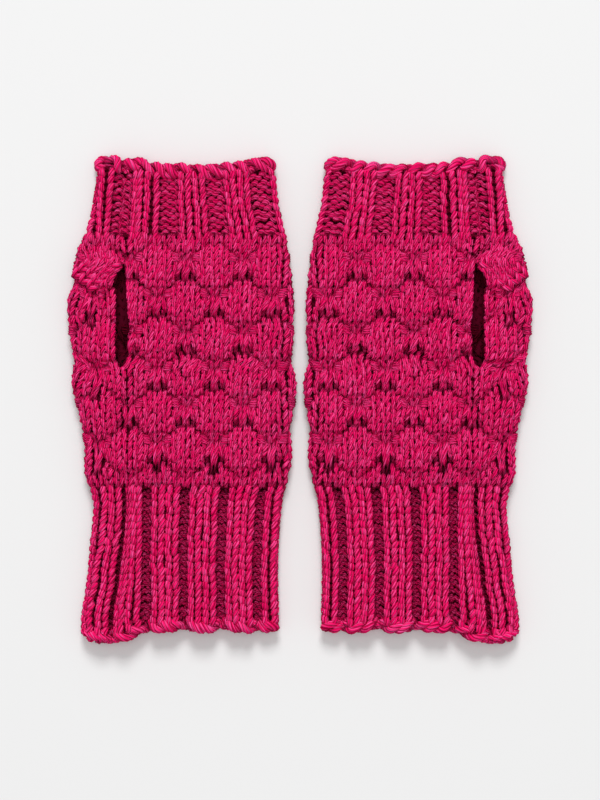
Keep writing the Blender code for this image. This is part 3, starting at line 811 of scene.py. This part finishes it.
def thumb_flap(shaky):
    """The corner of the cloth that rolls over the top of the thumb slit: its hem and three columns."""
    start, end = (np.array(point) for point in FLAP_HEM)
    out = np.array(FLAP_OUT)
    hem = start + np.linspace(0, 1, 12)[:, None] * (end - start)
    edge = np.column_stack([hem + 0.8 * out, np.full(12, FLAP_HEIGHT - 1.6)])
    # The hem gets a little painted shade.
    legs = [(edge, 0.9, 0.8)]
    for from_start, from_end, lower in FLAP_COLUMNS:
        first, last = start + from_start * out, end + from_end * out
        legs += chain(first, last, FLAP_HEIGHT - lower, FLAP_WIDTH, FLAP_LINK, shaky)
    return legs


bubble_yarn = yarn_material("bubble_yarn", 1.04)
for warmer, side in SIDES.items():
    shaky = np.random.default_rng(11)
    paths = knit_band(body_rows(shaky), bubble_relief, BODY_DARK, BUBBLE_RISE * 0.7, BODY_DIPS)
    paths += thumb_flap(shaky)
    piece = knit_up(f"{warmer}_bubble_body", side, paths, BODY_YARN, bubble_yarn)
    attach(piece, "root")
    yarns[warmer].append(piece)

# The hand rib, knit two and purl two again, 32 stitches round and 10 rows high, looser than the wrist, so
# that the purl bumps show as crossed ripples between the knit pairs.
HAND_TROUGHS = [(0.415, 0.045), (0.663, 0.048), (0.905, 0.050)]
HAND_TROUGHS += [(0.905 + 0.2752 * step, 0.050) for step in range(1, 5)]
HAND_SEAM = (0.051, 0.042)
HAND_HELD = (0.370, 62.6)
HAND_ROWS = 10
HAND_LOOP = 2.35
HAND_LEAN = 0.14
HAND_PURL = 0.92
HAND_RISE, HAND_TROUGH = 2.2, -0.6
HAND_YARN = 1.5
HAND_RIB_END, HAND_LAP = 101.2, 1.0  # height of the rib's end at its middle, and how far it runs on
HAND_END_RISE, HAND_MIDDLE, HAND_HALF = 2.4, 52.0, 40.0  # how much higher its end is at the folds
# How far under the troughs the painted shade reaches, and how much painted light the dips keep.
HAND_DARK, HAND_DIPS = 5.0, 0.75


def hand_rib_end(u):
    return HAND_RIB_END + HAND_END_RISE * ((u - HAND_MIDDLE) / HAND_HALF) ** 2


def hand_line(u, up):
    return BODY_TOP + (hand_rib_end(u) + HAND_LAP - BODY_TOP) * up


hand_bounds, hand_kinds = rib_bounds(HAND_TROUGHS, HAND_SEAM)
hand_relief = rib_relief(hand_bounds, hand_kinds, HAND_RISE, HAND_TROUGH, HAND_HELD)
for warmer, side in SIDES.items():
    shaky = np.random.default_rng(17)
    rows = rib_rows(hand_bounds, hand_kinds, HAND_HELD, HAND_ROWS, hand_line, HAND_LOOP, HAND_LEAN,
                    HAND_PURL, shaky)
    paths = knit_band(rows, hand_relief, HAND_TROUGH - HAND_DARK, HAND_RISE, HAND_DIPS)
    piece = knit_up(f"{warmer}_hand_rib", side, paths, HAND_YARN, rib_yarn)
    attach(piece, "root")
    yarns[warmer].append(piece)

# The two edges, each a rope of two strands of the yarn. The cast-on one runs round the ribs' lower ends,
# and the bound-off one is fatter, with fewer turns that lie slanting over each other like chain loops.
edge_yarn = yarn_material("edge_yarn", 1.0)
ROPE_POINTS, ROPE_STRANDS = 320, 2
EDGE_YARN = 1.9
CAST_ON_IN, BOUND_OFF_IN = 3.7, 3.4  # how far the edges run inside the ends of the warmer
CAST_ON_LIFT, CAST_ON_RADIUS, CAST_ON_TURNS = -0.4, 1.5, 15
CAST_ON_SAG = 0.9  # how far the edge bulges down under each knit pair
BOUND_OFF_LIFT, BOUND_OFF_RADIUS, BOUND_OFF_TURNS = 0.3, 2.0, 13


def rope(line, held, lift, radius, turns, relief, sag=0.0):
    """Strands twisted round an edge that runs along the strip from seam to seam."""
    shares = np.linspace(SEAM_SHARE + 0.006, SEAM_SHARE + ROUND - 0.006, ROPE_POINTS)
    y = np.full(ROPE_POINTS, line(np.array([50.0]))[0])
    for _ in range(4):
        way = np.diagonal(share_ways(shares, y, held))
        y = line(on_cloth(way, y, 0 * way)[:, 0])
    if sag:
        y = y - sag * ease(relief(on_cloth(way, y, 0 * way)[:, 0], y) / WRIST_RISE)
    shaky = np.random.default_rng(23)
    knots = np.linspace(SEAM_SHARE, SEAM_SHARE + ROUND, int(3 * turns))
    paths = []
    for strand in range(ROPE_STRANDS):
        uneven = np.interp(shares, knots, shaky.normal(0, 0.07, len(knots)))
        turn = math.tau * (turns * (shares - SEAM_SHARE) / ROUND + strand / ROPE_STRANDS + uneven)
        points = on_cloth(way, y + radius * np.cos(turn), lift + radius * np.sin(turn), relief)
        # Painted shade: each turn of the rope is darker where it dips towards the cloth.
        paths.append((points, 1.0, 0.4 + 0.6 * ease((np.sin(turn) + 1) / 1.4)))
    return paths


def cast_on_line(u):
    return smooth(WRIST_END, u)[0] + CAST_ON_IN


def bound_off_line(u):
    return smooth(HAND_END, u)[0] - BOUND_OFF_IN


for warmer, side in SIDES.items():
    paths = rope(cast_on_line, WRIST_HELD, CAST_ON_LIFT, CAST_ON_RADIUS, CAST_ON_TURNS, wrist_relief,
                 CAST_ON_SAG)
    cast_on = knit_up(f"{warmer}_cast_on", side, paths, EDGE_YARN, edge_yarn)
    paths = rope(bound_off_line, HAND_HELD, BOUND_OFF_LIFT, BOUND_OFF_RADIUS, BOUND_OFF_TURNS, None)
    bound_off = knit_up(f"{warmer}_bound_off", side, paths, EDGE_YARN, edge_yarn)
    for piece in (cast_on, bound_off):
        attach(piece, "root")
        yarns[warmer].append(piece)

# The ground of the knitting: the thin web of fibres between the loops, as one open tube in each warmer. It
# lies laid flat, carries all the stitches and stops light in the holes. Its dark colour is painted shade.
GROUND_ROWS, GROUND_COLUMNS = 110, 150
GROUND_DEPTH, GROUND_INSET = 1.1, 3  # how far it lies under the cloth's middle and inside its ends
# Painted shade: the ground is coloured as dark as the shade in the holes between the loops.
GROUND_SHADE_COLOUR = (0.07, 0.0, 0.009, 1)
GUESS_FOOT, GUESS_HEIGHT = -105.0, 211.0  # a first guess at where its rows lie
ground = bpy.data.materials.new("yarn_ground_painted_shade")
ground.use_nodes = True
ground_shader = ground.node_tree.nodes["Principled BSDF"]
ground_shader.inputs["Base Color"].default_value = GROUND_SHADE_COLOUR
ground_shader.inputs["Roughness"].default_value = 1.0
ground_shader.inputs["Specular IOR Level"].default_value = 0.1


def ground_relief(u, y):
    """The relief of whichever band of stitches lies over the ground."""
    in_body = ease((y - WRIST_TOP) / 3) * ease((BODY_TOP - y) / 3)
    hand = y > (WRIST_TOP + BODY_TOP) / 2
    ribs = np.where(hand, hand_relief(u, y), wrist_relief(u, y))
    return ribs * (1 - in_body) + bubble_relief(u, y) * in_body


def ground_tube(warmer, side):
    """The web of one warmer, row by row from the cast-on edge to the bound-off edge."""
    share = np.linspace(0, 1, GROUND_COLUMNS)
    rows = []
    for up in np.linspace(0, 1, GROUND_ROWS):
        y = np.full(GROUND_COLUMNS, GUESS_FOOT + GUESS_HEIGHT * up)
        for _ in range(3):
            way = share * stretches(y)["whole"]
            u = on_cloth(way, y, 0 * y)[:, 0]
            low = smooth(WRIST_END, u)[0] + GROUND_INSET
            high = smooth(HAND_END, u)[0] - GROUND_INSET
            y = low + (high - low) * up
        rows.append(on_cloth(way, y, np.full(GROUND_COLUMNS, -GROUND_DEPTH), ground_relief))
    points = np.concatenate(rows) * (side * MM, MM, MM)
    faces = []
    for i in range(GROUND_ROWS - 1):
        for j in range(GROUND_COLUMNS - 1):
            corner = i * GROUND_COLUMNS + j
            quad = (corner, corner + GROUND_COLUMNS, corner + GROUND_COLUMNS + 1, corner + 1)
            faces.append(quad if side > 0 else quad[::-1])
    mesh = bpy.data.meshes.new(f"{warmer}_ground")
    mesh.from_pydata(points.tolist(), [], faces)
    mesh.shade_smooth()
    mesh.materials.append(ground)
    piece = bpy.data.objects.new(f"{warmer}_ground", mesh)
    scene.collection.objects.link(piece)
    return piece


for warmer, side in SIDES.items():
    piece = ground_tube(warmer, side)
    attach(piece, "root")
    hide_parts(*[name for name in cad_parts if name.startswith(warmer)])
